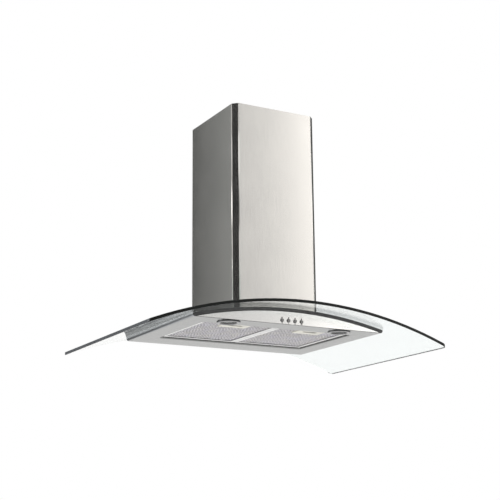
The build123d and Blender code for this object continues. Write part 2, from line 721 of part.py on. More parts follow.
with BuildPart() as outlet_duct:
    add(transition(COLLAR_WALL))
    with BuildSketch(Plane.XY.offset(OUTLET_Z)):
        with Locations((0, OUTLET_MIDDLE)):
            Rectangle(2 * SCROLL_HALF_WIDTH + 12, OUTLET_DEPTH + 16)
    extrude(amount=2)
    add(transition(0), mode=Mode.SUBTRACT)
save(outlet_duct, "outlet_duct")

with BuildPart() as duct_collar:
    with BuildSketch(Plane.XY.offset(COLLAR_Z)):
        Circle(COLLAR_OUTER_R)
        Circle(COLLAR_OUTER_R - COLLAR_WALL, mode=Mode.SUBTRACT)
    extrude(amount=COLLAR_LENGTH)
    # ledge that the closed flaps rest on, and the bar between their hinges
    flap_z = COLLAR_Z + 11
    with BuildSketch(Plane.XY.offset(flap_z - 3)):
        Circle(COLLAR_OUTER_R - COLLAR_WALL)
        Circle(COLLAR_OUTER_R - COLLAR_WALL - 4, mode=Mode.SUBTRACT)
        Rectangle(4, 2 * COLLAR_OUTER_R - 2)
    extrude(amount=2)
    with BuildSketch(Plane.XZ.offset(-COLLAR_OUTER_R)):
        with Locations((-FLAP_HINGE_X, flap_z), (FLAP_HINGE_X, flap_z)):
            Circle(FLAP_PIN_R + 0.06)
    extrude(amount=2 * COLLAR_OUTER_R, mode=Mode.SUBTRACT)
save(duct_collar, "duct_collar")

for side_name, side in SIDES.items():
    # half-round flap with its hinge rod
    with BuildPart() as flap:
        with BuildSketch(Plane.XY.offset(flap_z - FLAP_THICK / 2)):
            Circle(COLLAR_OUTER_R - COLLAR_WALL - 1.2)
            with Locations((side * FLAP_HINGE_X, 0)):
                Rectangle(
                    200, 200, align=(Align.MAX if side > 0 else Align.MIN, Align.CENTER), mode=Mode.SUBTRACT
                )
        extrude(amount=FLAP_THICK)
        with BuildSketch(Plane.XZ.offset(-COLLAR_OUTER_R + 0.4)):
            with Locations((side * FLAP_HINGE_X, flap_z)):
                Circle(FLAP_PIN_R)
        extrude(amount=2 * COLLAR_OUTER_R - 0.8)
    save(flap, f"damper_flap_{side_name}")

# ----------------------------------------------------------------- electrical pieces
with BuildPart() as junction_box:
    box_z = COLLAR_Z + 8
    box_middle = box_z + JUNCTION_BOX[2] / 2
    box_mouth = JUNCTION_X + JUNCTION_BOX[0] / 2  # open towards the duct
    with BuildSketch(Plane.XY.offset(box_z)):
        with Locations((JUNCTION_X, 0)):
            Rectangle(JUNCTION_BOX[0], JUNCTION_BOX[1])
    extrude(amount=JUNCTION_BOX[2])
    fillet(junction_box.edges().filter_by(Axis.Z), radius=2)
    with BuildSketch(Plane.YZ.offset(box_mouth - 1.5)):
        with Locations((0, box_middle)):
            Rectangle(JUNCTION_BOX[1] - 2 * JUNCTION_WALL, JUNCTION_BOX[2] - 2 * JUNCTION_WALL)
    extrude(amount=-19.5, mode=Mode.SUBTRACT)
    with BuildSketch(Plane.XY.offset(box_middle)):
        with Locations(GLAND_AT):
            Circle(GLAND_R + 0.2)
    extrude(amount=JUNCTION_BOX[2], mode=Mode.SUBTRACT)
save(junction_box, "junction_box")

with BuildPart() as junction_box_cover:
    with BuildSketch(Plane.YZ.offset(box_mouth + 0.1)):
        with Locations((0, box_middle)):
            RectangleRounded(JUNCTION_BOX[1], JUNCTION_BOX[2], 2)
            with GridLocations(98, 50, 2, 2):
                Circle(1.6, mode=Mode.SUBTRACT)
    extrude(amount=1.5)
save(junction_box_cover, "junction_box_cover")

with BuildPart() as cable_gland:
    gland_z = box_z + JUNCTION_BOX[2]
    with BuildSketch(Plane.XY.offset(gland_z - 6)):
        with Locations(GLAND_AT):
            Circle(GLAND_R)
    extrude(amount=6)
    with BuildSketch(Plane.XY.offset(gland_z)):
        with Locations(GLAND_AT):
            RegularPolygon(10, 6)
    extrude(amount=8)
    with BuildSketch(Plane.XY.offset(gland_z - 6)):
        with Locations(GLAND_AT):
            Circle(4.5)
    extrude(amount=14, mode=Mode.SUBTRACT)
save(cable_gland, "cable_gland")

# ------------------------------------------------------------------ front controls
with BuildPart() as switch_block:
    with BuildSketch(Plane.XZ.offset(-BODY_FRONT - SHEET - 17)):
        with Locations((0, UNDER + 13)):
            Rectangle(SWITCH_BLOCK[0], SWITCH_BLOCK[2])
    extrude(amount=SWITCH_BLOCK[1])
    with BuildSketch(Plane.XZ.offset(-BODY_FRONT - SHEET - 9)):
        with Locations((0, UNDER + BUTTON_HEIGHT)):
            with GridLocations(BUTTON_PITCH, 0, 4, 1):
                Circle(BUTTON_R + 0.3)
    extrude(amount=10, mode=Mode.SUBTRACT)
    with BuildSketch(Plane.XZ.offset(-BODY_FRONT - SHEET - 3)):
        with Locations((0, UNDER + INDICATOR_HEIGHT)):
            with GridLocations(BUTTON_PITCH, 0, 4, 1):
                Circle(INDICATOR_R + 0.1)
    extrude(amount=4, mode=Mode.SUBTRACT)
save(switch_block, "switch_block")

with BuildPart() as indicator_lenses:
    with BuildSketch(Plane.XZ.offset(-BODY_FRONT - SHEET - 2)):
        with Locations((0, UNDER + INDICATOR_HEIGHT)):
            with GridLocations(BUTTON_PITCH, 0, 4, 1):
                Circle(INDICATOR_R)
    extrude(amount=2 + SHEET + 0.4)
save(indicator_lenses, "indicator_lenses")

BUTTON_NAMES = ["lamp_button", "low_speed_button", "middle_speed_button", "high_speed_button"]
for index, button_name in enumerate(BUTTON_NAMES):
    button_x = BUTTON_PITCH * (index - 1.5)
    front_y = BODY_FRONT - BUTTON_PROUD
    with BuildPart() as button:
        with BuildSketch(Plane.XZ.offset(-front_y - 9)):
            with Locations((button_x, UNDER + BUTTON_HEIGHT)):
                Circle(BUTTON_R)
        extrude(amount=9)
        face_edge = button.faces().sort_by(Axis.Y)[0].edges()
        fillet(face_edge, radius=0.9)
    save(button, button_name)


# ------------------------------------------------------------------------- the lamps
def lamp_profile(points):
    """Turn a closed outline of (radius, height) points about a lamp's axis."""
    with BuildPart() as turned:
        with BuildSketch(Plane.XZ):
            with BuildLine():
                Polyline(*points, close=True)
            make_face()
        revolve(axis=Axis.Z)
    return turned.part


for side_name, side in SIDES.items():
    seat = Location((side * LAMP_X, LAMP_Y, UNDER))

    with BuildPart() as lamp_bezel:
        with BuildSketch(Plane.XZ):
            with BuildLine():
                outside = Line((LAMP_BEZEL_R, -0.05), (LAMP_BEZEL_R, -1.0))
                round_over = RadiusArc(outside @ 1, (LAMP_BEZEL_R - 3.4, -LAMP_PROUD), 3.6)
                Polyline(
                    round_over @ 1,
                    (LAMP_EYE_R + 2.6, -LAMP_PROUD),
                    (LAMP_EYE_R, -1.8),
                    (LAMP_EYE_R, 0.9),
                    (LAMP_EYE_R + 1.4, 0.9),
                    (LAMP_EYE_R + 1.4, 7.0),
                    (LAMP_HOLE_R - 0.4, 7.0),
                    (LAMP_HOLE_R - 0.4, -0.05),
                    outside @ 0,
                )
            make_face()
        revolve(axis=Axis.Z)
    lamp_bezel.part.locate(seat)
    save(lamp_bezel, f"lamp_bezel_{side_name}")

    with BuildPart() as lamp_lens:
        with BuildSketch(Plane.XZ):
            with BuildLine():
                Polyline(
                    (0, 0.4),
                    (LAMP_EYE_R - 1.1, 0.4),
                    (LAMP_EYE_R - 0.2, 1.0),
                    (LAMP_EYE_R + 1.1, 1.0),
                    (LAMP_EYE_R + 1.1, 3.4),
                    (0, 3.4),
                    close=True,
                )
            make_face()
        revolve(axis=Axis.Z)
    lamp_lens.part.locate(seat)
    save(lamp_lens, f"lamp_lens_{side_name}")

    with BuildPart() as lamp_housing:
        add(
            lamp_profile(
                [
                    (LAMP_EYE_R + 0.5, 3.6),
                    (LAMP_EYE_R + 0.5, 14.5),
                    (LAMP_EYE_R - 1.5, 17.0),
                    (3.6, 17.0),
                    (3.6, 16.0),
                    (9.0, 14.5),
                    (LAMP_EYE_R - 2.0, 5.0),
                    (LAMP_EYE_R - 0.2, 3.6),
                ]
            )
        )
    lamp_housing.part.locate(seat)
    save(lamp_housing, f"lamp_housing_{side_name}")

# small capsule bulbs behind the lenses
with BuildPart() as halogen_bulbs:
    with Locations((-LAMP_X, LAMP_Y, UNDER + 4.6), (LAMP_X, LAMP_Y, UNDER + 4.6)):
        Cylinder(3.0, 12.0, align=(Align.CENTER, Align.CENTER, Align.MIN))
    fillet(halogen_bulbs.faces().group_by(Axis.Z)[0].edges(), radius=2.6)
save(halogen_bulbs, "halogen_bulbs")

# ------------------------------------------------------------------- grease filters
MESH_HOLE = (26.0, 14.5)
MESH_PITCH = (32.0, 20.0)
MESH_COUNT = (6, 12)
INNER_DEPTH = FILTER_DEPTH - 2 * FILTER_RAIL
INNER_WIDTH = FILTER_WIDTH - 2 * FILTER_RAIL

for side_name, side in SIDES.items():
    middle_x = side * (FILTER_GAP / 2 + FILTER_WIDTH / 2)
    latch_x = side * LATCH_X
    frame_middle = Location((middle_x, FILTER_MIDDLE_Y))

    # frame of folded channel, open towards the mesh
    with BuildPart() as filter_frame:
        with BuildSketch(Plane.XY.offset(FILTER_Z)):
            with Locations(frame_middle):
                RectangleRounded(FILTER_WIDTH, FILTER_DEPTH, 3)
                Rectangle(INNER_WIDTH, INNER_DEPTH, mode=Mode.SUBTRACT)
        extrude(amount=FILTER_HEIGHT)
        with BuildSketch(Plane.XY.offset(FILTER_Z + SHEET)):
            with Locations(frame_middle):
                RectangleRounded(FILTER_WIDTH - 2, FILTER_DEPTH - 2, 2)
        extrude(amount=FILTER_HEIGHT - 2 * SHEET, mode=Mode.SUBTRACT)
        # way out for the latch tongue
        with BuildSketch(Plane.XZ.offset(130)):
            with Locations((latch_x, UNDER + 10.5)):
                Rectangle(14, 2.4)
        extrude(amount=8, mode=Mode.SUBTRACT)
        # rear tabs, which hang on the collar's flange
        tab_back = OPENING_DEPTH / 2 + COLLAR_FLANGE
        tab_front = FILTER_MIDDLE_Y + FILTER_DEPTH / 2 - SHEET
        with BuildSketch(Plane.XY.offset(UNDER + COLLAR_HEIGHT + 0.8)):
            with Locations((middle_x - 75, 0), (middle_x + 75, 0)):
                with Locations((0, (tab_back + tab_front) / 2)):
                    Rectangle(20, tab_back - tab_front)
        extrude(amount=1.2)
    save(filter_frame, f"filter_frame_{side_name}")

    # layered grease mesh, drawn as an open lattice
    with BuildPart() as filter_mesh:
        with BuildSketch(Plane.XY.offset(FILTER_Z + SHEET + 0.3)):
            with Locations(frame_middle):
                pad = Rectangle(FILTER_WIDTH - 3, FILTER_DEPTH - 3)
                chamfer(pad.vertices(), length=2)
            for shift in (-0.25, 0.25):
                with Locations((middle_x + shift * MESH_PITCH[0], FILTER_MIDDLE_Y + shift * MESH_PITCH[1])):
                    with GridLocations(*MESH_PITCH, MESH_COUNT[0], MESH_COUNT[1]):
                        Polygon(
                            (MESH_HOLE[0] / 2, 0),
                            (0, MESH_HOLE[1] / 2),
                            (-MESH_HOLE[0] / 2, 0),
                            (0, -MESH_HOLE[1] / 2),
                            mode=Mode.SUBTRACT,
                        )
            with Locations((latch_x, -135)):
                Rectangle(
                    LATCH_PLATE[0] + 0.8,
                    LATCH_Y + LATCH_PLATE[1] / 2 + 135.3,
                    align=(Align.CENTER, Align.MIN),
                    mode=Mode.SUBTRACT,
                )
        extrude(amount=FILTER_HEIGHT - 2 * SHEET - 0.6)
    save(filter_mesh, f"filter_mesh_{side_name}")

    # tray that guides the latch, with the finger slot in its face
    with BuildPart() as latch_plate:
        tray_z = FILTER_Z + 0.1
        with BuildSketch(Plane.XY.offset(tray_z)):
            with Locations((latch_x, LATCH_Y)):
                RectangleRounded(LATCH_PLATE[0], LATCH_PLATE[1] - 0.4, 2)
        extrude(amount=LATCH_TRAY_HEIGHT)
        with BuildSketch(Plane.XY.offset(tray_z + LATCH_TRAY_WALL)):
            with Locations((latch_x, LATCH_Y)):
                hollow_depth = LATCH_PLATE[1] - 0.4 - 2 * LATCH_TRAY_WALL
                Rectangle(LATCH_PLATE[0] - 2 * LATCH_TRAY_WALL, hollow_depth)
        extrude(amount=8, mode=Mode.SUBTRACT)
        with BuildSketch(Plane.XY.offset(tray_z)):
            with Locations((latch_x, LATCH_Y - 3)):
                RectangleRounded(*LATCH_SLOT, 3)
        extrude(amount=2, mode=Mode.SUBTRACT)
        with BuildSketch(Plane.XZ.offset(-LATCH_Y)):
            with Locations((latch_x, UNDER + 10.5)):
                Rectangle(14, 3.4)
        extrude(amount=40, mode=Mode.SUBTRACT)
    save(latch_plate, f"latch_plate_{side_name}")

    # sliding latch: finger rib, carriage and tongue
    with BuildPart() as latch:
        carriage_z = FILTER_Z + 3.8
        with BuildSketch(Plane.XY.offset(carriage_z)):
            with Locations((latch_x, LATCH_Y - 1)):
                Rectangle(LATCH_SLOT[0] + 14, 30)
        extrude(amount=1.4)
        with BuildSketch(Plane.XY.offset(UNDER + 9.7)):
            with Locations((latch_x, LATCH_Y)):
                Rectangle(LATCH_TONGUE[0], LATCH_TONGUE[1], align=(Align.CENTER, Align.MAX))
        extrude(amount=LATCH_TONGUE[2])
        with BuildSketch(Plane.XY.offset(FILTER_Z + 0.6)):
            with Locations((latch_x, LATCH_Y - 7)):
                Rectangle(24, 4)
        extrude(amount=3.4)
        nose = latch.edges().filter_by(Axis.X).sort_by(Axis.Y)[0]
        chamfer(nose, length=0.6)
    save(latch, f"filter_latch_{side_name}")
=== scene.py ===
import math
import random

import bmesh
import bpy
from mathutils import Matrix, Vector


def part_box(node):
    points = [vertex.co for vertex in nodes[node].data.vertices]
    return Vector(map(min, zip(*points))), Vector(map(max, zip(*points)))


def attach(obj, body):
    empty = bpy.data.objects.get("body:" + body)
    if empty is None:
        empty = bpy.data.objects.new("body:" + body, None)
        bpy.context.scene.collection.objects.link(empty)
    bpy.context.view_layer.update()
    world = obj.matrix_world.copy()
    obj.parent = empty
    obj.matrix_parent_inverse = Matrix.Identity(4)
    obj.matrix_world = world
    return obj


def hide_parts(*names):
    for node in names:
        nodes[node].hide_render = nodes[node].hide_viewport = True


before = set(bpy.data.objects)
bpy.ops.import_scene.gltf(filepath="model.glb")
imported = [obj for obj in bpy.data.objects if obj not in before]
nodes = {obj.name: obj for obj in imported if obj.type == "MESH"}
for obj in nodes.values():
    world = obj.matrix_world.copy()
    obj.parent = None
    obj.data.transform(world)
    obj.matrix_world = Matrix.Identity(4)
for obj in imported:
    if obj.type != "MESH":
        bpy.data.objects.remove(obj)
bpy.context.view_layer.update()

GLASS_UPPER_R = 1.225  # upper face of the glass, about an axis along Y
ARC_Z = -1.8032  # height of that axis
SIDES = {"left": -1, "right": 1}


# ------------------------------------------------------------------ material helpers
class Graph:
    """A new node material with its Principled shader, and short calls that add nodes."""

    def __init__(self, name):
        self.material = bpy.data.materials.new(name)
        self.material.use_nodes = True
        self.tree = self.material.node_tree
        self.shader = self.tree.nodes["Principled BSDF"]
        self.output = self.tree.nodes["Material Output"]

    def node(self, kind, **settings):
        made = self.tree.nodes.new("ShaderNode" + kind)
        for key, value in settings.items():
            setattr(made, key, value)
        return made

    def link(self, source, target):
        self.tree.links.new(source, target)

    def coords(self, scale):
        """Object coordinates, in metres, times a scale for each axis."""
        place = self.node("TexCoord")
        mapping = self.node("Mapping")
        mapping.inputs["Scale"].default_value = scale
        self.link(place.outputs["Object"], mapping.inputs["Vector"])
        return mapping.outputs["Vector"]

    def noise(self, scale, detail):
        tex = self.node("TexNoise")
        tex.inputs["Scale"].default_value = 1.0
        tex.inputs["Detail"].default_value = detail
        tex.inputs["Roughness"].default_value = 0.5
        self.link(self.coords(scale), tex.inputs["Vector"])
        return tex.outputs["Fac"]

    def span(self, source, low, high, from_low=0.3, from_high=0.7):
        """Map a texture's middle range onto two values."""
        node = self.node("MapRange")
        node.inputs["From Min"].default_value = from_low
        node.inputs["From Max"].default_value = from_high
        node.inputs["To Min"].default_value = low
        node.inputs["To Max"].default_value = high
        self.link(source, node.inputs["Value"])
        return node.outputs["Result"]

    def add(self, first, second):
        node = self.node("Math", operation="ADD")
        self.link(first, node.inputs[0])
        self.link(second, node.inputs[1])
        return node.outputs[0]

    def blend(self, factor, first, second):
        """Mix two colours by a factor."""
        node = self.node("Mix", data_type="RGBA")
        for place, value in ((0, factor), (6, first), (7, second)):
            socket = node.inputs[place]
            if isinstance(value, tuple):
                socket.default_value = (*value, 1.0)
            elif isinstance(value, (int, float)):
                socket.default_value = value
            else:
                self.link(value, socket)
        return node.outputs[2]

    def bump(self, height, distance, strength):
        node = self.node("Bump")
        node.inputs["Strength"].default_value = strength
        node.inputs["Distance"].default_value = distance
        self.link(height, node.inputs["Height"])
        self.link(node.outputs["Normal"], self.shader.inputs["Normal"])

    def set(self, **values):
        for key, value in values.items():
            socket = self.shader.inputs[key.replace("_", " ")]
            if isinstance(value, bpy.types.NodeSocket):
                self.link(value, socket)
            elif isinstance(value, tuple):
                socket.default_value = (*value, 1.0)
            else:
                socket.default_value = value


def brushed(name, colour, grain, rough=(0.17, 0.25), darker=0.95, strength=0.15):
    """Steel brushed along one axis: grain is the texture's scale for each axis."""
    g = Graph(name)
    fine = g.noise(grain, detail=2.0)
    broad = g.noise((9, 9, 9), detail=2.0)
    shade = tuple(c * darker for c in colour)
    g.set(
        Base_Color=g.blend(g.span(fine, 0, 1), shade, colour),
        Roughness=g.add(g.span(fine, *rough), g.span(broad, -0.02, 0.02)),
        Metallic=1.0,
    )
    g.bump(fine, 0.000003, strength)
    return g.material


def plastic(name, colour, rough, grain=1800, coat=0.0):
    """Moulded plastic with a fine spark-eroded grain."""
    g = Graph(name)
    fine = g.noise((grain, grain, grain), detail=3.0)
    broad = g.noise((14, 14, 14), detail=2.0)
    shade = tuple(c * 0.86 for c in colour)
    g.set(
        Base_Color=g.blend(g.span(broad, 0, 1), shade, colour),
        Roughness=g.span(fine, rough - 0.06, rough + 0.08),
        Coat_Weight=coat,
    )
    g.bump(fine, 0.00006, 0.35)
    return g.material


# ------------------------------------------------------------------ materials
steel_vertical = brushed("steel_brushed_upright", (0.66, 0.645, 0.62), (1600, 1600, 25))
steel_across = brushed(
    "steel_brushed_across", (0.80, 0.795, 0.78), (25, 1600, 1600), darker=0.98, strength=0.05
)
# the underside and its rolled side are the body's stainless with darker colours: painted shade
steel_under = brushed(
    "steel_underside_painted_shade", (0.272, 0.275, 0.273), (25, 1600, 1600), (0.13, 0.2)
)
steel_rolled = brushed(
    "steel_rolled_side_painted_shade", (0.38, 0.385, 0.40), (900, 25, 900), (0.12, 0.16), strength=0.02
)


def galvanised():
    """Zinc-coated sheet with its spangle."""
    g = Graph("galvanised_sheet")
    cells = g.node("TexVoronoi", feature="F1")
    cells.inputs["Scale"].default_value = 1.0
    g.link(g.coords((120, 120, 120)), cells.inputs["Vector"])
    tone = g.node("SeparateColor")
    g.link(cells.outputs["Color"], tone.inputs["Color"])
    g.set(
        Base_Color=g.blend(tone.outputs[0], (0.50, 0.52, 0.54), (0.66, 0.68, 0.70)),
        Roughness=g.span(tone.outputs[1], 0.32, 0.5, 0, 1),
        Metallic=1.0,
    )
    return g.material


def canopy_glass():
    """Clear float glass with a faint tint."""
    g = Graph("canopy_glass")
    g.set(Base_Color=(0.955, 0.99, 0.985), Roughness=0.0, IOR=1.5, Transmission_Weight=1.0)
    return g.material


def glass_edge(name, tone, gloss):
    """Ground edge of the glass: dark from outside, clear from inside the pane."""
    g = Graph(name)
    grind = g.noise((500, 500, 500), detail=3.0)
    broad = g.noise((7, 7, 7), detail=2.0)
    g.set(
        Base_Color=g.blend(g.span(broad, 0, 1), tone, tuple(c * 1.4 for c in tone)),
        Roughness=g.span(grind, 0.16, 0.3),
        Specular_IOR_Level=gloss,
    )
    clear = g.node("BsdfPrincipled")
    clear.inputs["Base Color"].default_value = (0.80, 0.84, 0.83, 1)
    clear.inputs["Roughness"].default_value = 0.05
    clear.inputs["IOR"].default_value = 1.5
    clear.inputs["Transmission Weight"].default_value = 1.0
    side = g.node("NewGeometry")
    mix = g.node("MixShader")
    g.link(side.outputs["Backfacing"], mix.inputs["Fac"])
    g.link(g.shader.outputs[0], mix.inputs[1])
    g.link(clear.outputs[0], mix.inputs[2])
    g.link(mix.outputs[0], g.output.inputs["Surface"])
    return g.material


def clear_glass(name, tint):
    g = Graph(name)
    ripple = g.noise((160, 160, 160), detail=2.0)
    g.set(Base_Color=tint, Roughness=g.span(ripple, 0.02, 0.09), IOR=1.48, Transmission_Weight=1.0)
    g.bump(ripple, 0.0002, 0.3)
    return g.material


def chrome(name, colour=(0.82, 0.82, 0.82), rough=(0.05, 0.12)):
    g = Graph(name)
    haze = g.noise((220, 220, 220), detail=3.0)
    g.set(
        Base_Color=g.blend(g.span(haze, 0, 1), tuple(c * 0.95 for c in colour), colour),
        Roughness=g.span(haze, *rough),
        Metallic=1.0,
    )
    return g.material


def wavy_metal(name, valley_shade, crest, level, swing):
    """Aluminium net, with painted shade darkening it where its waves run up into the filter."""
    g = Graph(name)
    fine = g.noise((300, 300, 300), detail=2.0)
    drift = g.noise((60, 25, 60), detail=2.0)
    parts = g.node("SeparateXYZ")
    g.link(g.coords((1, 1, 1)), parts.inputs["Vector"])
    wave = g.span(parts.outputs["Z"], 0, 1, level + swing, level - swing)
    cool = tuple(c * k for c, k in zip(crest, (0.93, 0.93, 1.03)))
    g.set(
        Base_Color=g.blend(wave, valley_shade, g.blend(g.span(drift, 0, 1), cool, crest)),
        Roughness=g.span(fine, 0.4, 0.55),
        Metallic=1.0,
    )
    g.bump(fine, 0.000003, 0.15)
    return g.material


def satin_black():
    g = Graph("satin_black_paint")
    peel = g.noise((600, 600, 600), detail=2.0)
    broad = g.noise((12, 12, 12), detail=2.0)
    g.set(
        Base_Color=g.blend(g.span(broad, 0, 1), (0.035, 0.035, 0.036), (0.05, 0.05, 0.05)),
        Roughness=g.span(peel, 0.3, 0.42),
    )
    g.bump(peel, 0.00005, 0.3)
    return g.material


def soft_rubber():
    g = Graph("rubber")
    fine = g.noise((900, 900, 900), detail=3.0)
    g.set(
        Base_Color=g.blend(g.span(fine, 0, 1), (0.022, 0.022, 0.022), (0.04, 0.04, 0.04)),
        Roughness=g.span(fine, 0.6, 0.8),
    )
    g.bump(fine, 0.0001, 0.4)
    return g.material


NET_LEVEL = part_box("filter_mesh_left")[0][2] + 0.0017  # middle of the filters' front net
PAD_LEVEL = (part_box("filter_mesh_left")[0][2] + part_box("filter_mesh_left")[1][2]) / 2
PAD_DEPTH = 0.0012
WAVE = 0.0011  # how far their waves reach up and down
materials = {
    "steel_up": steel_vertical,
    "steel_across": steel_across,
    "steel_under": steel_under,
    "steel_rolled": steel_rolled,
    "zinc": galvanised(),
    "glass": canopy_glass(),
    # one ground edge in two tones: the front edge painted darker as shade, the side edges painted
    # lighter as reflected light
    "front_edge": glass_edge("glass_edge_front_painted_shade", (0.0065, 0.0075, 0.007), 0.14),
    "side_edge": glass_edge("glass_edge_side_painted_light", (0.050, 0.055, 0.062), 0.3),
    "lamp_glass": clear_glass("lamp_glass", (0.95, 0.96, 0.95)),
    "chrome": chrome("polished_chrome", (0.27, 0.27, 0.275)),
    "button": chrome("button_metal", (0.22, 0.218, 0.215), (0.16, 0.3)),
    "bolt": chrome("zinc_bolt", (0.66, 0.66, 0.64), (0.25, 0.42)),
    "black": satin_black(),
    "rubber": soft_rubber(),
    "blower": plastic("blower_moulding", (0.10, 0.10, 0.105), 0.5),
    "wheel": plastic("impeller_moulding", (0.16, 0.16, 0.17), 0.45),
    "motor": plastic("motor_enamel", (0.26, 0.27, 0.28), 0.38, grain=700),
    "box": plastic("box_moulding", (0.72, 0.72, 0.70), 0.48),
    # dark plastic for the dark mouldings; the same material also paints shade on the lamp rings'
    # front walls and the buttons' sides
    "dark": plastic("dark_moulding_and_painted_shade", (0.035, 0.035, 0.036), 0.42),
    "red": plastic("indicator_lens", (0.045, 0.006, 0.006), 0.16, coat=0.6),
    "cream": plastic("latch_plate", (0.80, 0.78, 0.70), 0.4),
    "aluminium": brushed("filter_aluminium", (0.91, 0.91, 0.905), (60, 500, 500), (0.4, 0.55)),
    # the nets' wave valleys carry painted shade
    "mesh": wavy_metal(
        "mesh_aluminium", (0.12, 0.114, 0.131), (0.80, 0.785, 0.765), NET_LEVEL, WAVE * 0.75
    ),
    "mesh_back": wavy_metal(
        "mesh_layers", (0.13, 0.124, 0.14), (0.46, 0.445, 0.43), PAD_LEVEL, WAVE * 0.75
    ),
    "reflector": chrome("lamp_reflector", (0.14, 0.14, 0.14), (0.15, 0.3)),
    "print": plastic("printed_mark", (0.05, 0.05, 0.05), 0.5),
}

finish = {
    "steel_up": ["upper_chimney", "lower_chimney"],
    "steel_across": ["front_panel", "rear_panel", "top_cover"],
    "steel_under": ["underside_panel"],
    "zinc": ["ceiling_plate", "frame_braces", "base_frame", "divider_rail", "motor_bracket"]
    + [n for n in nodes if "_post_" in n],
    "glass": ["glass_canopy"],
    "lamp_glass": ["lamp_lens_left", "lamp_lens_right", "halogen_bulbs"],
    "chrome": ["lamp_bezel_left", "lamp_bezel_right"],
    "button": ["lamp_button", "low_speed_button", "middle_speed_button", "high_speed_button"],
    "bolt": ["glass_bolts", "motor_shaft"],
    "black": ["carrier_frame"],
    "rubber": ["base_gasket", "glass_grommets"],
    "blower": [
        "scroll_half_left",
        "scroll_half_right",
        "inlet_ring_left",
        "inlet_ring_right",
        "outlet_duct",
        "duct_collar",
        "damper_flap_left",
        "damper_flap_right",
    ],
    "wheel": ["impeller", "impeller_blades"],
    "motor": ["motor"],
    "box": ["junction_box", "junction_box_cover"],
    "dark": ["cable_gland", "switch_block", "filter_latch_left", "filter_latch_right"]
    + ["lamp_housing_left", "lamp_housing_right"],
    "red": ["indicator_lenses"],
    "cream": ["latch_plate_left", "latch_plate_right"],
    "aluminium": ["filter_frame_left", "filter_frame_right"],
    "mesh": ["filter_mesh_left", "filter_mesh_right"],
}
for key, names in finish.items():
    for name in names:
        mesh = nodes[name].data
        mesh.materials.clear()
        mesh.materials.append(materials[key])
        for polygon in mesh.polygons:
            polygon.material_index = 0


def second_finish(name, key, chosen):
    """Give the faces of a node for which chosen(face) is true another material."""
    mesh = nodes[name].data
    mesh.materials.append(materials[key])
    for polygon in mesh.polygons:
        if chosen(polygon):
            polygon.material_index = len(mesh.materials) - 1


second_finish("glass_canopy", "front_edge", lambda face: abs(face.normal.z) < 0.88)
second_finish("glass_canopy", "side_edge", lambda face: abs(face.normal.x) > 0.72)
for side in SIDES:
    bezel_low, bezel_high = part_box(f"lamp_bezel_{side}")
    eye = Vector(((bezel_low[0] + bezel_high[0]) / 2, (bezel_low[1] + bezel_high[1]) / 2))
    # the ring's outer wall is painted dark as shade in front, its face and its ends are chrome
    second_finish(
        f"lamp_bezel_{side}",
        "dark",
        lambda face: face.normal.z > -0.62
        and face.normal.y < 0.35
        and abs(face.normal.x) < 0.86
        and (face.center.xy - eye).length > 0.0262,
    )
    # inside of the lamp's dish
    second_finish(
        f"lamp_housing_{side}",
        "reflector",
        lambda face: face.normal.z < -0.2 and (face.center.xy - eye).length < 0.0215,
    )


for button in finish["button"]:
    # the push buttons' sides are painted dark as shade, their faces are steel
    second_finish(button, "dark", lambda face: face.normal.y > -0.8)

body_low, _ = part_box("underside_panel")
# the underside's sides and roll take the darker rolled-side copy of the same steel: painted shade
second_finish(
    "underside_panel",
    "steel_rolled",
    lambda face: face.normal.z > -0.97 and abs(face.center.x) > 0.27,
)
# cut edge of the underside sheet, in the shade of the seam below the front panel
second_finish(
    "underside_panel",
    "dark",
    lambda face: face.normal.y < -0.9 and face.center.y < body_low[1] + 0.0005,
)


# ------------------------------------------------------------------ chimney shells
def link_mesh(name, points, faces, material):
    mesh = bpy.data.meshes.new(name)
    mesh.from_pydata(points, [], faces)
    mesh.materials.append(material)
    mesh.validate()
    shape = bmesh.new()
    shape.from_mesh(mesh)
    bmesh.ops.recalc_face_normals(shape, faces=shape.faces)
    if shape.calc_volume(signed=True) < 0:
        bmesh.ops.reverse_faces(shape, faces=shape.faces)
    shape.to_mesh(mesh)
    shape.free()
    made = bpy.data.objects.new(name, mesh)
    bpy.context.scene.collection.objects.link(made)
    return made


CHIMNEY_HALF = (0.1325, 0.1315)
FRONT_CHAMFER, BACK_CHAMFER = 0.015, 0.003
CHIMNEY_SHEET = 0.001
BEND_R = 0.0042  # outside of the sheet
INNER_BEND_R = 0.0032


def rounded(corners, radius, steps=6):
    """Round a polygon's corners: its points, and whether the run after each is an arc's."""
    points, bends = [], []
    count = len(corners)
    for i, here in enumerate(corners):
        to_last = (corners[i - 1] - here).normalized()
        to_next = (corners[(i + 1) % count] - here).normalized()
        half = to_last.angle(to_next) / 2
        reach = radius / math.tan(half)
        middle = here + (to_last + to_next).normalized() * (radius / math.sin(half))
        first = here + to_last * reach - middle
        turn = (here + to_next * reach - middle).angle_signed(first)
        for step in range(steps + 1):
            spun = first.copy()
            spun.rotate(Matrix.Rotation(turn * step / steps, 2))
            points.append(middle + spun)
            bends.append(step < steps)
    return points, bends


def chimney_section(inset):
    """Corners of the chimney's outline: wide chamfers in front, narrow ones behind."""
    x, y = (half - inset for half in CHIMNEY_HALF)
    less = inset * (2 - math.sqrt(2))
    front, back = FRONT_CHAMFER - less, BACK_CHAMFER - less
    run = [(x, -y + front), (x, y - back), (x - back, y), (-x + back, y), (-x, y - back)]
    run += [(-x, -y + front), (-x + front, -y), (x - front, -y)]
    return [Vector(point) for point in run]


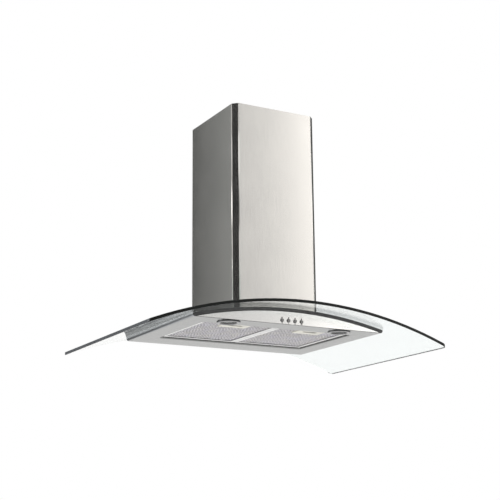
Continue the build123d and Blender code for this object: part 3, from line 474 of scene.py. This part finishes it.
def chimney_shell(node, body, inset, top, low_at):
    """Sheet tube bent round its corners, standing for a CAD shell."""
    outer, bends = rounded(chimney_section(inset), BEND_R)
    inner, _ = rounded(chimney_section(inset + CHIMNEY_SHEET), INNER_BEND_R)
    count = len(outer)
    points = [(p.x, p.y, low_at(p.x)) for p in outer] + [(p.x, p.y, top) for p in outer]
    points += [(p.x, p.y, low_at(p.x)) for p in inner] + [(p.x, p.y, top) for p in inner]
    faces, smooth = [], []
    for i in range(count):
        j = (i + 1) % count
        faces.append((i, j, count + j, count + i))
        faces.append((2 * count + j, 2 * count + i, 3 * count + i, 3 * count + j))
        faces.append((count + i, count + j, 3 * count + j, 3 * count + i))
        faces.append((j, i, 2 * count + i, 2 * count + j))
        smooth += [bends[i], bends[i], False, False]
    shell = link_mesh(node + "_bent_sheet", points, faces, steel_vertical)
    for polygon, is_bend in zip(shell.data.polygons, smooth):
        polygon.use_smooth = is_bend
    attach(shell, body)
    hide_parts(node)


def along_glass(x, gap=0.0006):
    """Height at x of a curve just above the glass."""
    return ARC_Z + math.sqrt((GLASS_UPPER_R + gap) ** 2 - x * x)


chimney_shell("lower_chimney", "hood", 0.0, -0.001, along_glass)
chimney_shell("upper_chimney", "ceiling_frame", 0.0015, 0.0, lambda x: -0.480)


# ------------------------------------------------------------------ push buttons' surrounds
def turned_ring(name, centre, profile, material, sides=40):
    """Ring round an axis along Y, from (radius, y) points of its section."""
    points, faces = [], []
    count = len(profile)
    for i in range(sides):
        angle = 2 * math.pi * i / sides
        for radius, y in profile:
            x, z = radius * math.cos(angle), radius * math.sin(angle)
            points.append((centre[0] + x, centre[1] + y, centre[2] + z))
    for i in range(sides):
        j = (i + 1) % sides
        for k in range(count):
            m = (k + 1) % count
            faces.append((i * count + k, j * count + k, j * count + m, i * count + m))
    ring = link_mesh(name, points, faces, material)
    for polygon in ring.data.polygons:
        polygon.use_smooth = True
    return ring


def flat_mark(name, outlines, face_y):
    """Thin printed mark on the front panel, from outlines of (x, z) points."""
    points, faces = [], []
    for outline in outlines:
        base = len(points)
        count = len(outline)
        points += [(x, face_y - 0.00012, z) for x, z in outline]
        points += [(x, face_y + 0.0001, z) for x, z in outline]
        faces.append(tuple(range(base, base + count)))
        faces.append(tuple(range(base + 2 * count - 1, base + count - 1, -1)))
        for i in range(count):
            j = (i + 1) % count
            faces.append((base + j, base + i, base + count + i, base + count + j))
    return link_mesh(name, points, faces, materials["print"])


def bar(x, z, width, height):
    left, right = x - width / 2, x + width / 2
    return [(left, z), (right, z), (right, z + height), (left, z + height)]


def disc(x, z, radius, sides=16):
    turns = [2 * math.pi * i / sides for i in range(sides)]
    return [(x + radius * math.cos(a), z + radius * math.sin(a)) for a in turns]


# (radius, y) points round the rings' sections, from the panel's face
COLLAR_SECTION = [
    (0.0049, 0.0001),
    (0.0049, -0.0003),
    (0.0050, -0.0006),
    (0.0053, -0.0004),
    (0.0054, 0.0001),
]
RIM_SECTION = [
    (0.0014, 0.0001),
    (0.0014, -0.0006),
    (0.0015, -0.0009),
    (0.0017, -0.0006),
    (0.0018, 0.0001),
]
MARK_DROP = 0.0093  # from a button's middle down to the foot of its mark
MARK_DISC_R = 0.0017
MARK_BAR = (0.0011, 0.0034)
MARK_PITCH = 0.0020

panel_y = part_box("front_panel")[0][1]
lens_low, lens_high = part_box("indicator_lenses")
lens_z = (lens_low[2] + lens_high[2]) / 2
for step, button in enumerate(finish["button"]):
    low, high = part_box(button)
    middle = ((low[0] + high[0]) / 2, panel_y, (low[2] + high[2]) / 2)
    collar = turned_ring(button + "_collar", middle, COLLAR_SECTION, materials["dark"])
    eye = (middle[0], panel_y, lens_z)
    rim = turned_ring(button + "_indicator_rim", eye, RIM_SECTION, materials["dark"], 24)
    # printed below each button: a lamp's disc, then one, two or three bars
    mark_z = middle[2] - MARK_DROP
    if step == 0:
        shapes = [disc(middle[0], mark_z + 0.0016, MARK_DISC_R)]
    else:
        spots = [middle[0] + (k - (step - 1) / 2) * MARK_PITCH for k in range(step)]
        shapes = [bar(x, mark_z, *MARK_BAR) for x in spots]
    mark = flat_mark(button + "_mark", shapes, panel_y)
    for piece in (collar, rim, mark):
        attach(piece, "hood")


# ------------------------------------------------------------------ grease filter mesh
MESH_PITCH = (0.0078, 0.0050)
WAVE_ACROSS = (0.874, -0.486)  # direction across the pad's waves
PAD_CELLS = (112, 132)
STRAND = (0.0012, 0.0005)  # width and thickness of the expanded metal's strands


def corrugation(x, y):
    """Height of the pad's waves, which lie aslant and wander along their length."""
    across = WAVE_ACROSS[0] * x + WAVE_ACROSS[1] * y
    along = WAVE_ACROSS[0] * y - WAVE_ACROSS[1] * x
    wander = 2.0 * math.sin(along * 90) + 0.9 * math.sin(along * 190 + across * 90)
    return WAVE * math.sin(across * 770 + wander)


def expanded_metal(low, high, level_z, cut, seed):
    """Points and faces of a sheet of expanded metal: a strand along each side of each mesh."""
    points, faces = [], []
    step_x, step_y = MESH_PITCH[0] / 2, MESH_PITCH[1] / 2
    columns = int((high[0] - low[0]) / step_x)
    rows = int((high[1] - low[1]) / step_y)
    waver = random.Random(seed)
    knots = {}
    for i in range(columns + 1):
        for j in range(rows + 1):
            if (i + j) % 2 == 0:
                x = low[0] + i * step_x + waver.uniform(-0.12, 0.12) * step_x
                y = low[1] + j * step_y + waver.uniform(-0.12, 0.12) * step_y
                knots[i, j] = Vector((x, y, level_z + corrugation(x, y)))
    for (i, j), start in knots.items():
        for rise in (1, -1):
            end = knots.get((i + 1, j + rise))
            if end is None:
                continue
            middle = (start + end) / 2
            if cut[0] < middle.x < cut[1] and middle.y < cut[2]:
                continue
            along = (end - start).normalized()
            # the strands are pressed aslant, one way on each side of a mesh
            tilt = Vector((-along.y, along.x, 0.9 * rise)).normalized()
            thick = along.cross(tilt).normalized()
            base = len(points)
            for place in (start, end):
                for a, b in ((-1, -1), (1, -1), (1, 1), (-1, 1)):
                    aside = tilt * (a * STRAND[0] / 2)
                    points.append(place + aside + thick * (b * STRAND[1] / 2))
            faces.append((base + 3, base + 2, base + 1, base))
            faces.append((base + 4, base + 5, base + 6, base + 7))
            for k in range(4):
                m = (k + 1) % 4
                faces.append((base + k, base + m, base + 4 + m, base + 4 + k))
    return points, faces


def pad_layers(low, high, cut):
    """Crumpled layers behind the front sheet: a slab that undulates, cut out at the latch."""
    points, faces, edges = [], [], {}
    count_x, count_y = PAD_CELLS
    index = {}
    for i in range(count_x + 1):
        for j in range(count_y + 1):
            x = low[0] + (high[0] - low[0]) * i / count_x
            y = low[1] + (high[1] - low[1]) * j / count_y
            index[i, j] = len(points)
            points.append((x, y, PAD_LEVEL + corrugation(x, y)))
    for i in range(count_x):
        for j in range(count_y):
            x, y, _ = points[index[i, j]]
            if cut[0] - 0.001 < x < cut[1] and y < cut[2]:
                continue
            run = (index[i, j], index[i, j + 1], index[i + 1, j + 1], index[i + 1, j])
            faces.append(run)
            for k in range(4):
                edge = (run[k], run[(k + 1) % 4])
                if edges.pop(edge[::-1], None) is None:
                    edges[edge] = True
    lift = len(points)
    points += [(x, y, z + PAD_DEPTH) for x, y, z in points]
    faces += [tuple(k + lift for k in reversed(run)) for run in faces]
    # walls along the rim and round the cut-out
    faces += [(b, a, a + lift, b + lift) for a, b in edges]
    return points, faces


for side, sign in SIDES.items():
    low, high = (Vector(corner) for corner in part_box(f"filter_mesh_{side}"))
    plate_low, plate_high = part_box(f"latch_plate_{side}")
    cut = (plate_low[0] - 0.0006, plate_high[0] + 0.0006, plate_high[1] + 0.0006)
    inner_low = low + Vector((0.001, 0.001, 0))
    inner_high = high - Vector((0.001, 0.001, 0))
    points, faces = expanded_metal(inner_low, inner_high, NET_LEVEL, cut, 7 if sign > 0 else 11)
    front = link_mesh(f"filter_front_mesh_{side}", points, faces, materials["mesh"])
    points, faces = pad_layers(inner_low, inner_high, cut)
    layers = link_mesh(f"filter_layers_{side}", points, faces, materials["mesh_back"])
    for polygon in layers.data.polygons:
        polygon.use_smooth = True
    for piece in (front, layers):
        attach(piece, f"{side}_filter")
    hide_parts(f"filter_mesh_{side}")


# ------------------------------------------------------------------ camera
FOCAL_PX = 1181.0
IMAGE_PX = 500
SENSOR_MM = 36.0
YAW, PITCH, ROLL = 29.054, 13.954, -0.532
CAMERA_AT = (-1.59575, -2.85017, -1.19245)
yaw, pitch, roll = (math.radians(a) for a in (YAW, PITCH, ROLL))
flat = math.cos(pitch)
ahead = Vector((math.sin(yaw) * flat, math.cos(yaw) * flat, math.sin(pitch)))
sideways = Vector((math.cos(yaw), -math.sin(yaw), 0))
upward = sideways.cross(ahead)
right = sideways * math.cos(roll) + upward * math.sin(roll)
up = upward * math.cos(roll) - sideways * math.sin(roll)
camera_data = bpy.data.cameras.new("camera")
camera_data.sensor_width = SENSOR_MM
camera_data.lens = FOCAL_PX / IMAGE_PX * SENSOR_MM
camera = bpy.data.objects.new("camera", camera_data)
bpy.context.scene.collection.objects.link(camera)
turn = Matrix((right, up, -ahead)).transposed().to_4x4()
camera.matrix_world = Matrix.Translation(CAMERA_AT) @ turn
bpy.context.scene.camera = camera


# ------------------------------------------------------------------ floor, world, lamps
def flat_floor(z, half):
    mesh = bpy.data.meshes.new("floor")
    corners = [(-half, -half, z), (half, -half, z), (half, half, z), (-half, half, z)]
    mesh.from_pydata(corners, [], [(0, 1, 2, 3)])
    floor = bpy.data.objects.new("floor", mesh)
    bpy.context.scene.collection.objects.link(floor)
    g = Graph("floor_paint")
    speckle = g.noise((3, 3, 3), detail=2.0)
    g.set(
        Base_Color=g.blend(g.span(speckle, 0, 1), (0.81, 0.81, 0.81), (0.825, 0.825, 0.825)),
        Roughness=0.9,
    )
    mesh.materials.append(g.material)


flat_floor(-4.0, 20.0)

world = bpy.data.worlds.new("studio")
bpy.context.scene.world = world
world.use_nodes = True
tree = world.node_tree
tree.nodes.clear()


def world_node(kind, **settings):
    made = tree.nodes.new("ShaderNode" + kind)
    for key, value in settings.items():
        setattr(made, key, value)
    return made


def lobe(direction, low, high, amount):
    """Brightness that rises towards one direction of the studio."""
    dot = world_node("VectorMath", operation="DOT_PRODUCT")
    tree.links.new(sky.outputs["Generated"], dot.inputs[0])
    dot.inputs[1].default_value = Vector(direction).normalized()
    ramp = world_node("MapRange", interpolation_type="SMOOTHSTEP")
    ramp.inputs["From Min"].default_value = low
    ramp.inputs["From Max"].default_value = high
    ramp.inputs["To Min"].default_value = 0.0
    ramp.inputs["To Max"].default_value = amount
    tree.links.new(dot.outputs["Value"], ramp.inputs["Value"])
    return ramp.outputs["Result"]


def combined(values, operation="ADD"):
    result = values[0]
    for value in values[1:]:
        node = world_node("Math", operation=operation)
        tree.links.new(result, node.inputs[0])
        tree.links.new(value, node.inputs[1])
        result = node.outputs[0]
    return result


def level(value):
    node = world_node("Value")
    node.outputs[0].default_value = value
    return node.outputs[0]


sky = world_node("TexCoord")
brightness = combined(
    [
        level(0.42),
        lobe((0, 0, 1), 0.25, 0.95, 0.9),
        lobe((0.85, -0.5, 0.25), 0.75, 0.97, 0.68),
        lobe((0.41, 0.91, 0.12), 0.92, 0.985, 0.6),
        lobe((-0.94, 0.28, 0.21), 0.915, 0.98, 4.6),
    ]
)
studio = world_node("Background")
tree.links.new(combined([brightness, level(0.02)], "MAXIMUM"), studio.inputs["Strength"])
studio.inputs["Color"].default_value = (1.0, 0.995, 0.985, 1)
backdrop = world_node("Background")
backdrop.inputs["Color"].default_value = (1, 1, 1, 1)
backdrop.inputs["Strength"].default_value = 1.0
path = world_node("LightPath")
seen = combined([path.outputs["Is Camera Ray"], path.outputs["Is Transmission Ray"]], "MAXIMUM")
mix = world_node("MixShader")
tree.links.new(seen, mix.inputs["Fac"])
tree.links.new(studio.outputs[0], mix.inputs[1])
tree.links.new(backdrop.outputs[0], mix.inputs[2])
output = world_node("OutputWorld")
tree.links.new(mix.outputs[0], output.inputs["Surface"])


def card(name, corners, shades, axis="X", ends=(0.0, 1.0)):
    """A flat studio card that only glossy surfaces see, its tone running along one axis."""
    g = Graph(name + "_paint")
    place = g.node("TexCoord")
    parts = g.node("SeparateXYZ")
    g.link(place.outputs["Object"], parts.inputs["Vector"])
    glow = g.node("Emission")
    g.link(g.span(parts.outputs[axis], *shades, *ends), glow.inputs["Strength"])
    glow.inputs["Color"].default_value = (0.97, 1.0, 0.99, 1)
    g.link(glow.outputs[0], g.output.inputs["Surface"])
    made = link_mesh(name, corners, [(0, 1, 2, 3)], g.material)
    made.visible_camera = False
    made.visible_diffuse = False
    made.visible_transmission = False
    made.visible_shadow = False


def upright(foot, low, high):
    """Corners of a standing rectangle over the run between two (x, y) points."""
    (x1, y1), (x2, y2) = foot
    return [(x1, y1, low), (x2, y2, low), (x2, y2, high), (x1, y1, high)]


# grey card behind the hood on the left and low, for the rolled side of the body
card(
    "low_card",
    upright(((-1.3, 0.75), (-0.26, 0.75)), -1.49, -0.66),
    (0.85, 0.28),
    "Z",
    (-1.06, -0.90),
)
# dark cards for the chimney's two front chamfers
card(
    "left_flag",
    upright(((-0.680, -0.762), (-0.945, -0.284)), -0.62, 0.55),
    (0.02, 0.02),
)
card(
    "right_flag",
    upright(((0.875, 0.124), (0.735, 0.380)), -0.50, 0.50),
    (0.06, 0.06),
)
# grey card beside the chimney, lighter towards the left
card(
    "chimney_card",
    upright(((-0.80, 0.62), (-0.24, 0.62)), -0.47, 0.6),
    (0.37, 0.05),
    "X",
    (-0.56, -0.33),
)


def softbox(name, place, target, size, brightness, tint):
    """A soft lamp, width and height in metres, that the camera doesn't see."""
    lamp = bpy.data.lights.new(name, "AREA")
    lamp.shape = "RECTANGLE"
    lamp.size, lamp.size_y = size
    lamp.energy = brightness * math.pi * size[0] * size[1]
    lamp.color = tint
    made = bpy.data.objects.new(name, lamp)
    made.location = place
    made.rotation_euler = (Vector(target) - Vector(place)).to_track_quat("-Z", "Y").to_euler()
    made.visible_camera = False
    made.visible_transmission = True
    bpy.context.scene.collection.objects.link(made)


WARM = (1.0, 0.965, 0.925)
softbox("softbox_right", (2.5, -2.4, 0.4), (0.1, -0.1, -0.4), (1.7, 2.4), 1.1, WARM)

bpy.context.scene.view_settings.view_transform = "Standard"
